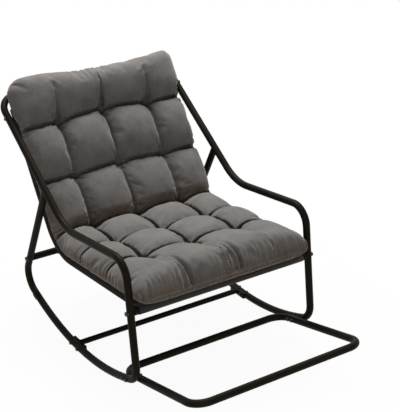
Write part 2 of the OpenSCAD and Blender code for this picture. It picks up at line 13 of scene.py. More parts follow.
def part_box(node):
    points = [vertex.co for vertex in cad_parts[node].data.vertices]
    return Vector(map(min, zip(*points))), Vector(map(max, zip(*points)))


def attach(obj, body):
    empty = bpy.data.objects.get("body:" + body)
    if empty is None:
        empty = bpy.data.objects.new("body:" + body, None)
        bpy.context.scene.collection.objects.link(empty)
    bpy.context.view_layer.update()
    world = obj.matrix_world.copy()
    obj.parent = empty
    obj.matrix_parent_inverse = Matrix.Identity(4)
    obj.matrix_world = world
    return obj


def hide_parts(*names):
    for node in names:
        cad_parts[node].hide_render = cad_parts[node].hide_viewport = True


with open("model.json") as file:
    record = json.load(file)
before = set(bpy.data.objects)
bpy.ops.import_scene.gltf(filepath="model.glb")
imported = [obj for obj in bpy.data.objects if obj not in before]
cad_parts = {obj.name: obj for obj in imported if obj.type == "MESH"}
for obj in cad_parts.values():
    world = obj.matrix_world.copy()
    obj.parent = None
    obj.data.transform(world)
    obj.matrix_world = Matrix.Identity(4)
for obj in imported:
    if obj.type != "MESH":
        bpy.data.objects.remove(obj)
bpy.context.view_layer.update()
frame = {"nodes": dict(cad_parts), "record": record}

# The photograph's camera, found by fitting the frame's own corners.
IMAGE_W, IMAGE_H = 400, 412
FOCAL_PX = 1128.66
CAMERA_AT = Vector((-1.807, -2.928, 2.178))
CAMERA_AZIMUTH = math.radians(-33.096)
CAMERA_ELEVATION = math.radians(25.995)
CAMERA_ROLL = math.radians(0.145)

# The sling line: straight from the front bar, round the hip, straight to the top bar.
TUBE_R = 0.0125
SEAT_FALL = math.radians(6.9)
HIP_BACK = 0.588
HIP_R = 0.175
SLING_T = 0.0015
REST_GAP = 0.0004
SLEEVE_R = TUBE_R + REST_GAP + SLING_T / 2
BACK_BEND_R = 0.066

# Cushion sizes. The simulation swells the puffs up to the CAD form's crowns.
CUSHION_W = 0.654
# Heights over the sling line: a puff's crown, the seam, and a crease's rise from its tufts.
CROWN_T = 0.110
SEAM_T = 0.046
CREASE_RISE = 0.024
# How far the pad reaches past the front bar and past the top bar, and its ends' rolls.
FRONT_OVER = 0.046
TOP_OVER = 0.040
END_ROLL = 0.060
# Distance between the columns of tufts, and how far each crease draws the sides in.
TUFT_PITCH = 0.184
SIDE_DRAW = 0.005
# How square the ends' rolls and the puffs are, and the share of a plain sine in a puff.
FALL_POWER = 4
PUFF_POWER = 2.6
PUFF_SINE = 0.15
# Corners of the outline: both front ones, and the right and the left one of the top.
FRONT_CORNER_R = 0.026
TOP_CORNER_R = (0.060, 0.036)
# Grid: cell size, the rise by which a puff's steps are spaced, and samples along a curve.
CELL = 0.0068
PUFF_RISE = 0.055
PROFILE_SAMPLES = 2001
# Rows of tufts: their distance from the front edge, and their height over the sling.
TUFT_ROWS = ((0.240, 0.062), (0.425, 0.050), (0.640, 0.040), (0.864, 0.036), (1.062, 0.036))
# The columns' creases open out over the last puff: how soon, and how far.
OPEN_RATE, OPEN_SHARE = 1.6, 0.92
# The top edge's dip between its ears: depth, place and half width in columns.
TOP_DIP, DIP_AT, DIP_HALF = 0.014, 0.35, 1.5
# The ears past the last row, the back's shift to one side and the bow of its rows. Each has
# a size, a place from which it grows in, and the length over which it does.
EAR_W, EAR_FROM, EAR_RAMP = 0.010, 0.02, 0.06
TOP_SHIFT, SHIFT_FROM, SHIFT_RAMP = 0.006, 0.5, 0.3
ROW_BOW, BOW_FROM, BOW_RAMP, BOW_END = 0.015, 0.6, 0.5, 0.12

# Cloth simulation: the furthest a point may move, its pressure and its length in frames.
SWELL_CAP = 0.022
PRESSURE = 4.0
SIM_FRAMES = 20
# How firmly creases, the top's rim and the underside's rim are held, where a tuft is 1.
CREASE_HOLD, RIM_HOLD, LOW_RIM_HOLD = 0.55, 0.35, 0.2
# Distance from a crease within which it holds, and how much of that its open ends lose.
HOLD_NEAR, OPEN_LOSS = 0.007, 0.9
# The rims, by the share of full height that is left there.
TOP_RIM, LOW_RIM = 0.05, 0.6
# Slack: how far it spreads from a crease, in rows or columns, and its growth to the rim.
SLACK_NEAR, RIM_SLACK = 0.22, 1.2

# Folds pressed into the cover: (depth, half width) of each kind, and where they run.
CREASE_FOLD = (0.017, 0.0042)
FAN_FOLD = (0.0036, 0.0045)
FAN_FROM, FAN_REACH = 0.008, (0.035, 0.075)
FAN_TURN = (0.15, 0.85)
SIDE_FOLD = (0.004, 0.008)
SIDE_FAN_FOLD = (0.0035, 0.005)
SIDE_REACH, SIDE_FAN_IN, SIDE_SPREAD = 0.05, 0.02, 0.045
TOP_FOLD, TOP_WAY = (0.012, 0.0055), (0.06, 0.012)
TOP_MIDDLE_FOLD, TOP_MIDDLE_WAY = (0.016, 0.006), (0.13, 0.006)
TOP_EDGE_FOLD, TOP_EDGE_REACH = (0.006, 0.006), 0.08
TOP_EDGE_PLACES = (-0.05, -0.03, 0.02, 0.035)
TOP_FAN_FOLD, TOP_FAN_SPREAD = (0.004, 0.005), 0.06
TOP_FAN_FROM, TOP_FAN_REACH = 0.01, 0.06
GATHER_FOLD, GATHER_STEP = (0.006, 0.0042), 0.012
GATHER_REACH, GATHER_LEAN = (0.025, 0.055), 0.008
DEEPEST = 0.028
FADE_RATE = 1.15
# Folds of the front face: tuft column, place of the lower end, depth and half width.
FRONT_FOLDS = (
    (-1, -0.140, 0.028, 0.006),
    (-1, -0.165, 0.007, 0.006),
    (0, 0.030, 0.016, 0.006),
    (0, 0.052, 0.016, 0.0055),
    (0, 0.008, 0.010, 0.006),
    (0, -0.015, 0.006, 0.006),
    (1, 0.200, 0.005, 0.009),
)

# Sling and tie panel: cut widths, seams and hems.
SLING_W = 0.638
SLEEVE_GAP = 0.005
SEAM_AT = 0.050
HEM = 0.013
TIE_W = 0.475
TIE_SEAM = 0.5
TIE_FLANGE = 0.018
CLOTH_CELL = 0.012
SLEEVE_STEPS = 26
FLANGE_STEPS = (1.0, 0.66, 0.33, 0.0)
FLANGE_ROWS = (0.3, 0.75)
# Stitches: distances of a seam's two rows past its start, spacing, length share and radius.
STITCH_ROWS = (0.003, 0.010)
STITCH_MARGIN = 0.004
STITCH_STEP = 0.0055
STITCH_SHARE = 0.7
STITCH_R = 0.0005
STITCH_SIDES = 6
# A stitch is thickest between these shares of its length.
STITCH_SHOULDERS = (0.15, 0.85)
# Any direction that no stitch runs along, from which its sides are worked out.
SLANT = (0.31, 0.59, 0.74)

# Heights between which the cushion gets painted shade, a darker brown, where it faces down.
DOWN_SHADE_TOP, DOWN_SHADE_BOTTOM = 0.465, 0.41

# The floor: its half width, and the distances between which it turns from nearly to all white.
FLOOR_HALF = 12
FLOOR_NEAR, FLOOR_FAR = 0.3, 1.0
FLOOR_WHITE = 0.95
# Strengths of the world, the key light and the front light.
WORLD_LIGHT = 0.2
KEY_WATTS = 113
FRONT_WATTS = 25


def center_of(node):
    low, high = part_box(node)
    return (low + high) / 2


def top_bar():
    """The top bar's axis, in y and z."""
    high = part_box("back_top_loop")[1]
    return np.array([high.y - TUBE_R, high.z - TUBE_R])


class Line:
    """The sling line in the side view, in y and z, by its length from the front bar."""

    def __init__(self):
        bar = center_of("front_seat_bar")
        self.start = np.array([bar.y, bar.z])
        self.top = top_bar()
        down = np.array([math.cos(SEAT_FALL), -math.sin(SEAT_FALL)])
        hip = self.start + HIP_BACK * down
        up = self.top - hip
        self.turn = math.atan2(up[1], up[0]) + SEAT_FALL
        cut = HIP_R * math.tan(self.turn / 2)
        self.seat = HIP_BACK - cut
        self.hip = HIP_R * self.turn
        self.back = np.linalg.norm(up) - cut
        self.length = self.seat + self.hip + self.back
        self.centre = self.start + self.seat * down + HIP_R * np.array([-down[1], down[0]])

    def heading(self, s):
        """The line's slope at length s."""
        bend = np.clip((s - self.seat) / self.hip, 0, 1)
        return -SEAT_FALL + bend * self.turn

    def at(self, s, h):
        """Points at length s and height h over the line, as y and z."""
        s = np.asarray(s, float)
        a = self.heading(s)
        along = np.stack([np.cos(a), np.sin(a)], -1)
        left = np.stack([-np.sin(a), np.cos(a)], -1)
        seat = self.start + s[..., None] * np.array([math.cos(SEAT_FALL), -math.sin(SEAT_FALL)])
        bend = self.centre - HIP_R * left
        back = self.top + (s - self.length)[..., None] * along
        p = np.where((s < self.seat)[..., None], seat, bend)
        p = np.where((s > self.seat + self.hip)[..., None], back, p)
        return p + np.asarray(h, float)[..., None] * left


line = Line()


def mesh_object(name, points, faces, smooth=True):
    mesh = bpy.data.meshes.new(name)
    mesh.from_pydata([tuple(p) for p in points], [], [tuple(f) for f in faces])
    mesh.validate()
    if smooth:
        mesh.shade_smooth()
    obj = bpy.data.objects.new(name, mesh)
    bpy.context.scene.collection.objects.link(obj)
    return obj


# Materials


def sharp_rays(tree):
    """A node output that is 1 for camera, glossy and transmission rays."""
    ray = tree.nodes.new("ShaderNodeLightPath").outputs
    seen = ray["Is Camera Ray"]
    for kind in ("Is Glossy Ray", "Is Transmission Ray"):
        either = tree.nodes.new("ShaderNodeMath")
        either.operation = "MAXIMUM"
        tree.links.new(seen, either.inputs[0])
        tree.links.new(ray[kind], either.inputs[1])
        seen = either.outputs[0]
    return seen


class Nodes:
    """Short calls for building a material's node tree."""

    def __init__(self, name):
        self.material = bpy.data.materials.new(name)
        self.material.use_nodes = True
        self.tree = self.material.node_tree
        self.shader = self.tree.nodes["Principled BSDF"]

    def add(self, kind, inputs=None, **settings):
        node = self.tree.nodes.new(kind)
        for key, value in settings.items():
            setattr(node, key, value)
        for key, value in (inputs or {}).items():
            self.feed(node.inputs[key], value)
        return node

    def feed(self, socket, value):
        """Links a socket to another node's output, or sets it to a plain value."""
        if isinstance(value, bpy.types.NodeSocket):
            self.tree.links.new(value, socket)
        else:
            socket.default_value = value

    def place(self, scale=(1, 1, 1)):
        coords = self.add("ShaderNodeTexCoord").outputs["Object"]
        mapping = self.add("ShaderNodeMapping", {"Vector": coords, "Scale": scale})
        return mapping.outputs["Vector"]

    def noise(self, vector, scale, detail=3.0, roughness=0.5):
        return self.add(
            "ShaderNodeTexNoise",
            {"Vector": vector, "Scale": scale, "Detail": detail, "Roughness": roughness},
        ).outputs["Fac"]

    def ramp(self, value, low, high, to_low, to_high):
        node = self.add(
            "ShaderNodeMapRange",
            {"Value": value, "From Min": low, "From Max": high, "To Min": to_low, "To Max": to_high},
        )
        return node.outputs["Result"]

    def mix(self, factor, a, b):
        node = self.add("ShaderNodeMix", data_type="RGBA")
        # a mix node holds one set of sockets per data type; these are its colour ones
        for index, value in ((0, factor), (6, a), (7, b)):
            self.feed(node.inputs[index], value)
        return node.outputs[2]

    def multiply(self, a, b):
        return self.add("ShaderNodeMath", {0: a, 1: b}, operation="MULTIPLY").outputs[0]

    def bump(self, height, strength, distance, normal=None):
        inputs = {"Height": height, "Strength": strength, "Distance": distance}
        if normal is not None:
            inputs["Normal"] = normal
        return self.add("ShaderNodeBump", inputs).outputs["Normal"]

    def finish(self, **inputs):
        for key, value in inputs.items():
            self.feed(self.shader.inputs[key.replace("_", " ")], value)
        return self.material


def colour(r, g, b):
    return (r, g, b, 1.0)


def powder_coat():
    """Black powder coat: a fine orange peel and faint cloudy changes of tone."""
    n = Nodes("powder_coat")
    at = n.place()
    cloud = n.noise(at, 9.0, 4.0)
    peel = n.noise(at, 900.0, 2.0, 0.6)
    dark, light = colour(0.0085, 0.0067, 0.0044), colour(0.0135, 0.0107, 0.0072)
    tone = n.mix(n.ramp(cloud, 0.35, 0.65, 0, 1), dark, light)
    return n.finish(
        Base_Color=tone,
        Roughness=n.ramp(cloud, 0.3, 0.7, 0.42, 0.55),
        Specular_IOR_Level=0.05,
        Specular_Tint=colour(1.0, 0.93, 0.83),
        Normal=n.bump(peel, 0.12, 0.0004),
    )


def zinc(name, tone):
    """Zinc plating: metal with cloudy changes of tone and gloss."""
    n = Nodes(name)
    at = n.place()
    cloud = n.noise(at, 120.0, 4.0)
    darker = colour(*[0.75 * c for c in tone[:3]])
    return n.finish(
        Base_Color=n.mix(cloud, tone, darker),
        Metallic=0.85,
        Roughness=n.ramp(cloud, 0.3, 0.7, 0.32, 0.46),
        Normal=n.bump(n.noise(at, 1500.0), 0.08, 0.0003),
    )


def rubber():
    """Matte moulded rubber with a grain."""
    n = Nodes("rubber")
    at = n.place()
    cloud = n.noise(at, 60.0)
    return n.finish(
        Base_Color=n.mix(cloud, colour(0.012, 0.012, 0.012), colour(0.03, 0.03, 0.029)),
        Roughness=n.ramp(cloud, 0.3, 0.7, 0.7, 0.85),
        Normal=n.bump(n.noise(at, 700.0, 4.0), 0.2, 0.0005),
    )


def velvet():
    """Short pile velvet: mottled nap, fine grain, a soft sheen, and painted shade, a darker brown,
    where it faces down.
    """
    n = Nodes("cushion_velvet")
    at = n.place()
    nap = n.noise(at, 14.0, 5.0, 0.6)
    fine = n.noise(at, 260.0, 4.0, 0.65)
    streak = n.noise(n.place((1.0, 1.0, 0.25)), 60.0, 3.0)
    dark, light = colour(0.122, 0.113, 0.106), colour(0.182, 0.172, 0.164)
    # the second colour here is painted shade, a darker brown for the cover's downward faces
    brushed, shade_brown = colour(0.205, 0.194, 0.186), colour(0.098, 0.067, 0.042)
    tone = n.mix(n.ramp(nap, 0.32, 0.7, 0, 1), dark, light)
    tone = n.mix(n.ramp(streak, 0.4, 0.75, 0, 0.35), tone, brushed)
    normal = n.add("ShaderNodeNewGeometry").outputs["Normal"]
    up = n.add("ShaderNodeSeparateXYZ", {"Vector": normal}).outputs["Z"]
    low = n.add("ShaderNodeSeparateXYZ", {"Vector": at}).outputs["Z"]
    # painted shade: a darker brown on faces that turn down, near the seam
    facing = n.ramp(up, 0.5, -0.05, 0, 0.9)
    near_seam = n.ramp(low, DOWN_SHADE_TOP, DOWN_SHADE_BOTTOM, 0.15, 1)
    down_shade = n.multiply(facing, near_seam)
    tone = n.mix(down_shade, tone, shade_brown)
    pleat = n.multiply(n.noise(n.place((1.0, 1.0, 0.15)), 85.0, 2.0), down_shade)
    relief = n.bump(pleat, 0.8, 0.008, n.bump(nap, 0.35, 0.005))
    return n.finish(
        Base_Color=tone,
        Roughness=0.88,
        Sheen_Weight=0.35,
        Sheen_Roughness=0.45,
        Sheen_Tint=colour(0.9, 0.87, 0.84),
        Specular_IOR_Level=0.2,
        Normal=n.bump(fine, 0.22, 0.0012, relief),
    )


def sling_cloth():
    """Plain woven outdoor cloth: crossed yarns in bump and tone, with painted shade between the
    yarns.
    """
    n = Nodes("sling_cloth")
    at = n.place()
    yarns = {"Vector": at, "Scale": 420.0, "Distortion": 0.4}
    weft = n.add("ShaderNodeTexWave", yarns, bands_direction="X").outputs["Fac"]
    warp = n.add("ShaderNodeTexWave", yarns, bands_direction="Z").outputs["Fac"]
    weave = n.multiply(weft, warp)
    cloud = n.noise(at, 11.0, 4.0)
    dark, light = colour(0.02, 0.018, 0.0165), colour(0.034, 0.031, 0.028)
    # painted shade: darker where the weave dips between the yarns
    yarn_gap_shade = colour(0.012, 0.011, 0.01)
    tone = n.mix(n.ramp(cloud, 0.3, 0.7, 0, 1), dark, light)
    tone = n.mix(n.ramp(weave, 0.1, 0.9, 0.3, 0), tone, yarn_gap_shade)
    return n.finish(
        Base_Color=tone,
        Roughness=0.82,
        Sheen_Weight=0.1,
        Specular_IOR_Level=0.3,
        Normal=n.bump(weave, 0.35, 0.0006),
    )


def thread():
    """Sewing thread with a fine twist."""
    n = Nodes("thread")
    twist = n.noise(n.place(), 1400.0)
    return n.finish(
        Base_Color=n.mix(twist, colour(0.03, 0.028, 0.026), colour(0.075, 0.07, 0.065)),
        Roughness=0.7,
        Normal=n.bump(twist, 0.4, 0.0003),
    )


COAT = powder_coat()
DARK_ZINC = zinc("black_zinc", colour(0.05, 0.05, 0.05))
BRIGHT_ZINC = zinc("bright_zinc", colour(0.5, 0.51, 0.53))
RUBBER = rubber()
VELVET = velvet()
CLOTH = sling_cloth()
THREAD = thread()

SLOT_MATERIALS = {
    "frame_steel": COAT,
    "plain_steel": BRIGHT_ZINC,
    "dark_fasteners": DARK_ZINC,
    "rubber": RUBBER,
    "sling_fabric": CLOTH,
    "cushion_fabric": VELVET,
}


def paint(obj, material):
    obj.data.materials.clear()
    obj.data.materials.append(material)


def paint_frame():
    """Gives every CAD node the material of its slot in the record."""
    slots = {part["node"]: part["material_slot"] for part in frame["record"]["subparts"]}
    for node, obj in frame["nodes"].items():
        paint(obj, SLOT_MATERIALS[slots[node]])


# Cushion


def even_steps(profile, span, cell):
    """Values of 0 to 1 that are evenly spaced along the curve (span * t, profile(t))."""
    t = np.linspace(0, 1, PROFILE_SAMPLES)
    run = np.concatenate([[0], np.cumsum(np.hypot(np.diff(t * span), np.diff(profile(t))))])
    count = max(2, round(run[-1] / cell))
    return np.interp(np.linspace(0, run[-1], count + 1), run, t)


def fall(t):
    """The fall of the pad from its full height, at 0, to the seam, at 1."""
    return np.sqrt(np.maximum(0, 1 - np.clip(t, 0, 1) ** FALL_POWER))


def puff(t):
    """A puff's rise between two creases, at t = 0 and t = 1."""
    steep = np.sqrt(np.maximum(0, 1 - np.abs(2 * np.mod(t, 1) - 1) ** PUFF_POWER))
    return (1 - PUFF_SINE) * steep + PUFF_SINE * np.abs(np.sin(math.pi * np.mod(t, 1)))


def smooth(t):
    """An even, eased step from 0 to 1."""
    t = np.clip(t, 0, 1)
    return t * t * (3 - 2 * t)


# A fold's ends are (run, across), and a fold that fades ends in nothing.
Fold = namedtuple("Fold", "start end depth wide fades", defaults=[True])


class Cushion:
    """The tufted pad. u counts tuft rows from the front edge, v tuft columns from the middle."""

    def __init__(self):
        self.length = FRONT_OVER + line.length + TOP_OVER
        self.last = len(TUFT_ROWS) + 1
        self.row_at = np.array([0, *(row for row, _ in TUFT_ROWS), self.length])
        heights = [height for _, height in TUFT_ROWS]
        self.tuft_t = np.array([heights[0], *heights, heights[-1]])
        self.outer_w = CUSHION_W / 2 - TUFT_PITCH

    def run(self, u):
        """Length from the front edge."""
        return np.interp(u, np.arange(self.last + 1), self.row_at)

    def row_fall(self, u):
        s = self.run(u)
        return fall(1 - np.minimum(s, self.length - s) / END_ROLL)

    def col_fall(self, v):
        return fall(np.abs(v) - 1)

    def row_puff(self, u):
        ends = (u < 0.5) | (u > self.last - 0.5)
        return np.where(ends, 1.0, puff(u))

    def col_puff(self, v):
        a = np.abs(v)
        return np.where(a > 1.5, 1.0, puff(np.minimum(a, 1.5)))

    def height(self, u, v):
        """Height of the cover's top over the sling line, at full fullness."""
        rows, cols = self.row_puff(u), self.col_puff(v)
        # the columns' creases open out towards both ends
        end = smooth(OPEN_RATE * (1 - np.minimum(u, self.last - u)))
        cols = cols + (1 - cols) * OPEN_SHARE * end
        tuft = np.interp(u, np.arange(self.last + 1), self.tuft_t)
        crease = tuft + CREASE_RISE * np.maximum(rows, cols)
        return crease + (CROWN_T - CREASE_RISE - tuft) * rows * cols

    def half_width(self, u):
        """Half the pad's width: it widens into ears at the top and draws in at each crease."""
        ear = EAR_W * smooth((self.run(u) - TUFT_ROWS[-1][0] - EAR_FROM) / EAR_RAMP)
        return CUSHION_W / 2 + ear - SIDE_DRAW * (1 - self.row_puff(u)) ** 2

    def point(self, u, v, top):
        """Places of the cover's top or underside."""
        e = self.row_fall(u) * self.col_fall(v)
        a = np.abs(v)
        # the top edge hangs a little between its two ear-like corners
        dip = TOP_DIP * smooth(u - self.last + 1) * smooth(1 - ((v - DIP_AT) / DIP_HALF) ** 2)
        outer = TUFT_PITCH + (a - 1) * (self.half_width(u) - TUFT_PITCH)
        s, x = self.corner(u, v, outer)
        # the back part lies a little to one side
        x = x + TOP_SHIFT * smooth((s - SHIFT_FROM) / SHIFT_RAMP)
        # the back's rows bow up in the middle
        bow = ROW_BOW * smooth((s - BOW_FROM) / BOW_RAMP) * smooth((self.length - s) / BOW_END)
        s = s - FRONT_OVER - dip + bow * np.maximum(0, 1 - a**2)
        if top:
            h = SEAM_T + (self.height(u, v) - SEAM_T) * e
        else:
            h = SEAM_T - (SEAM_T - self.rest_height(s)) * e
        yz = line.at(s, h)
        return np.stack([x, yz[..., 0], yz[..., 1]], -1)

    def corner(self, u, v, outer):
        """Length and place across, with the outline's corners rounded."""
        s = self.run(u)
        a = np.abs(v)
        across = np.where(a <= 1, a * TUFT_PITCH, outer)
        half = self.half_width(u)
        from_end = np.minimum(s, self.length - s)
        near_front = s < self.length / 2
        r = np.where(near_front, FRONT_CORNER_R, np.where(v < 0, *TOP_CORNER_R))
        p = np.clip(1 - from_end / r, 0, 1)
        q = np.clip(1 - (half - across) / r, 0, 1)
        shrink = np.maximum(p, q) / np.maximum(np.hypot(p, q), 1e-9)
        shrink = np.where((p > 0) & (q > 0), shrink, 1)
        new_end = np.where(p > 0, r * (1 - p * shrink), from_end)
        new_across = np.where(q > 0, half - r * (1 - q * shrink), across)
        return np.where(near_front, new_end, self.length - new_end), np.sign(v) * new_across

    def rest_height(self, s):
        """Height of the underside over the sling line: it clears both sleeves."""
        clear = SLEEVE_R + SLING_T / 2 + 2 * REST_GAP
        cloth = SLING_T + 2 * REST_GAP
        from_bar = np.minimum(np.abs(s), np.abs(line.length - s))
        lift = (clear - cloth) * np.maximum(0, from_bar - SLEEVE_R) / (3 * SLEEVE_R)
        over = (s < 0) | (s > line.length)
        return np.where(over, clear, np.maximum(cloth, clear - lift))

    def rows(self):
        """Values of u: even along the edge's roll, and close together at the creases."""
        rise = CROWN_T - SEAM_T
        roll_steps = 1 - even_steps(lambda t: rise * fall(t), END_ROLL, CELL)
        roll = END_ROLL / self.row_at[1]
        steps = [roll * roll_steps[::-1]]
        for k in range(self.last):
            span = self.row_at[k + 1] - self.row_at[k]
            inner = k + even_steps(lambda t: PUFF_RISE * puff(t), span, CELL)
            if k == 0:
                inner = inner[inner > roll]
            if k == self.last - 1:
                roll = END_ROLL / span
                inner = inner[inner < self.last - roll]
                inner = np.append(inner, self.last - roll * roll_steps)
            steps.append(inner[1:] if 0 < k else inner)
        return np.unique(np.round(np.concatenate(steps), 6))

    def columns(self):
        """Values of v, the same on both sides of the middle."""
        rise = CROWN_T - SEAM_T

        def side_profile(t):
            return rise * fall(t) * np.maximum(0.5, puff(t / 2))

        side = 1 + even_steps(side_profile, self.outer_w, CELL)
        inner = even_steps(lambda t: PUFF_RISE * puff(t), TUFT_PITCH, CELL)
        half = np.concatenate([inner[:-1], side])
        return np.concatenate([-half[::-1][:-1], half])

    def build(self, name):
        """The closed cover: a grid for the top and one for the underside, joined at the rim."""
        u, v = self.rows(), self.columns()
        n, m = len(u) - 1, len(v) - 1
        grid_u, grid_v = np.meshgrid(u, v, indexing="ij")
        top = self.point(grid_u, grid_v, True)
        low = self.point(grid_u, grid_v, False)
        top_id = np.arange((n + 1) * (m + 1)).reshape(n + 1, m + 1)
        low_id = top_id.copy()
        low_id[1:-1, 1:-1] = (n + 1) * (m + 1) + np.arange((n - 1) * (m - 1)).reshape(n - 1, m - 1)
        faces = []
        for ids, flip in ((top_id, True), (low_id, False)):
            quad = np.stack([ids[:-1, :-1], ids[1:, :-1], ids[1:, 1:], ids[:-1, 1:]], -1)
            quad = quad.reshape(-1, 4)
            faces.append(quad[:, ::-1] if flip else quad)
        points = np.concatenate([top.reshape(-1, 3), low[1:-1, 1:-1].reshape(-1, 3)])
        self.is_top = np.arange(len(points)) < (n + 1) * (m + 1)
        self.u = np.concatenate([grid_u.ravel(), grid_u[1:-1, 1:-1].ravel()])
        self.v = np.concatenate([grid_v.ravel(), grid_v[1:-1, 1:-1].ravel()])
        obj = mesh_object(name, points, np.concatenate(faces))
        add_values(obj, "run", self.run(self.u))
        add_values(obj, "across", points[:, 0])
        add_values(obj, "top", self.is_top.astype(float))
        return obj

    def creases(self):
        """The narrow lines along which the tufts pull the cover down."""
        half = CUSHION_W / 2
        first, last = TUFT_ROWS[0][0], TUFT_ROWS[-1][0]
        lines = [((at, -half), (at, half)) for at, _ in TUFT_ROWS]
        lines += [((first, x), (last, x)) for x in (-TUFT_PITCH, 0, TUFT_PITCH)]
        return [Fold(start, end, *CREASE_FOLD, fades=False) for start, end in lines]

    def valleys(self):
        """All folds of the cover."""
        rng = np.random.default_rng(7)
        folds = self.creases()
        for row, (at, _) in enumerate(TUFT_ROWS):
            for col in (-1, 0, 1):
                tuft = np.array([at, col * TUFT_PITCH])
                folds += self.fan_folds(tuft, rng)
                if row == len(TUFT_ROWS) - 1:
                    folds += self.top_folds(tuft, rng)
            for side in (-1, 1):
                folds += self.side_folds(at, side, rng)
        return folds + self.front_folds(rng)

    def fan_folds(self, tuft, rng):
        """Short folds that fan out of a tuft between its creases."""
        folds = []
        for quarter in range(4):
            for turn in rng.uniform(*FAN_TURN, 3):
                angle = math.pi / 2 * (quarter + turn)
                reach = rng.uniform(*FAN_REACH)
                way = np.array([math.cos(angle), math.sin(angle)])
                folds.append(Fold(tuft + FAN_FROM * way, tuft + reach * way, *FAN_FOLD))
        return folds

    def side_folds(self, at, side, rng):
        """Folds that run from the side seam towards a row's outer tuft."""
        edge = np.array([at, side * CUSHION_W / 2])
        inner = np.array([at, side * (TUFT_PITCH + SIDE_REACH)])
        folds = [Fold(edge, inner, *SIDE_FOLD)]
        for lean in rng.uniform(-SIDE_SPREAD, SIDE_SPREAD, 3):
            start = edge + (lean, 0)
            end = inner + (0.4 * lean, side * SIDE_FAN_IN)
            folds.append(Fold(start, end, *SIDE_FAN_FOLD))
        return folds

    def top_folds(self, tuft, rng):
        """Folds that run up from a tuft of the last row, and down from the top edge's middle."""
        folds = [Fold(tuft, tuft + TOP_WAY, *TOP_FOLD)]
        if tuft[1] == 0:
            folds.append(Fold(tuft, tuft + TOP_MIDDLE_WAY, *TOP_MIDDLE_FOLD))
            for x in TOP_EDGE_PLACES:
                edge = np.array([self.length, x])
                folds.append(Fold(edge, edge + (-TOP_EDGE_REACH, -0.1 * x), *TOP_EDGE_FOLD))
        for lean in rng.uniform(-TOP_FAN_SPREAD, TOP_FAN_SPREAD, 3):
            start = tuft + (TOP_FAN_FROM, 0.2 * lean)
            folds.append(Fold(start, tuft + (TOP_FAN_REACH, lean), *TOP_FAN_FOLD))
        return folds

    def front_folds(self, rng):
        """Folds from the first row down the front, and small gathers along the front seam."""
        folds = []
        for col, low_x, depth, wide in FRONT_FOLDS:
            tuft = np.array([TUFT_ROWS[0][0], col * TUFT_PITCH])
            seam = np.array([0.0, low_x])
            middle = tuft + 0.5 * (seam - tuft)
            folds.append(Fold(tuft, middle, 0.4 * depth, wide))
            folds.append(Fold(seam, middle, depth, wide))
        for x in np.arange(-CUSHION_W / 2, CUSHION_W / 2, GATHER_STEP):
            start = np.array([0.0, x + rng.uniform(-0.4, 0.4) * GATHER_STEP])
            reach = rng.uniform(*GATHER_REACH)
            lean = rng.uniform(-GATHER_LEAN, GATHER_LEAN)
            folds.append(Fold(start, start + (reach, lean), *GATHER_FOLD))
        return folds

    def hold(self):
        """How firmly each point is held: tufts and underside fast, creases and seam less."""
        row_gap = np.abs(self.u - np.round(self.u)) * TUFT_PITCH
        col_gap = np.abs(np.abs(self.v) - np.round(np.abs(self.v))) * TUFT_PITCH
        at_row = (np.round(self.u) > 0) & (np.round(self.u) < self.last)
        at_col = np.abs(self.v) < 1.4
        row_near = np.where(at_row, np.clip(1 - row_gap / HOLD_NEAR, 0, 1), 0)
        col_near = np.where(at_col, np.clip(1 - col_gap / HOLD_NEAR, 0, 1), 0)
        end = smooth(1 - np.minimum(self.u, self.last - self.u))
        crease = np.maximum(row_near, col_near * (1 - OPEN_LOSS * end))
        hold = np.where((row_near > 0) & (col_near > 0), 1.0, CREASE_HOLD * crease)
        rim = self.row_fall(self.u) * self.col_fall(self.v)
        hold = np.where(rim < TOP_RIM, RIM_HOLD, hold)
        return np.where(self.is_top, hold, np.where(rim > LOW_RIM, 1.0, LOW_RIM_HOLD))

    def slack(self):
        """Where the cover is gathered: at the creases and round the seam."""
        row_gap = np.abs(self.u - np.round(self.u))
        col_gap = np.abs(np.abs(self.v) - np.round(np.abs(self.v)))
        near = np.clip(1 - np.minimum(row_gap, col_gap) / SLACK_NEAR, 0, 1)
        rim = 1 - self.row_fall(self.u) * self.col_fall(self.v)
        return np.where(self.is_top, np.clip(np.maximum(near, RIM_SLACK * rim), 0, 1), 0)


def add_group(obj, name, weights):
    group = obj.vertex_groups.new(name=name)
    for index, weight in enumerate(weights):
        group.add([index], float(weight), "REPLACE")
    return name


def inflate(obj, hold, slack):
    """Swells a pad by cloth simulation, moving no point further than SWELL_CAP."""
    count = len(obj.data.vertices)
    start = np.empty(count * 3)
    obj.data.vertices.foreach_get("co", start)
    cloth = obj.modifiers.new("cloth", "CLOTH")
    settings = cloth.settings
    settings.vertex_group_mass = add_group(obj, "hold", hold)
    settings.vertex_group_shrink = add_group(obj, "slack", slack)
    settings.quality = 5
    settings.mass = 0.25
    settings.tension_stiffness = settings.compression_stiffness = 18
    settings.shear_stiffness = 6
    settings.bending_stiffness = 0.3
    settings.use_pressure = True
    settings.uniform_pressure_force = PRESSURE
    settings.shrink_min = -0.03
    settings.shrink_max = -0.2
    settings.effector_weights.gravity = 0
    cloth.point_cache.frame_start = 1
    cloth.point_cache.frame_end = SIM_FRAMES
    for number in range(1, SIM_FRAMES + 1):
        bpy.context.scene.frame_set(number)
    shaped = obj.evaluated_get(bpy.context.evaluated_depsgraph_get())
    end = np.empty(count * 3)
    shaped.data.vertices.foreach_get("co", end)
    bpy.context.scene.frame_set(1)
    obj.modifiers.remove(cloth)
    obj.vertex_groups.clear()
    move = (end - start).reshape(-1, 3)
    length = np.linalg.norm(move, axis=1, keepdims=True)
    move *= np.minimum(1, SWELL_CAP / np.maximum(length, SWELL_CAP * 1e-6))
    obj.data.vertices.foreach_set("co", start + move.ravel())
    obj.data.update()


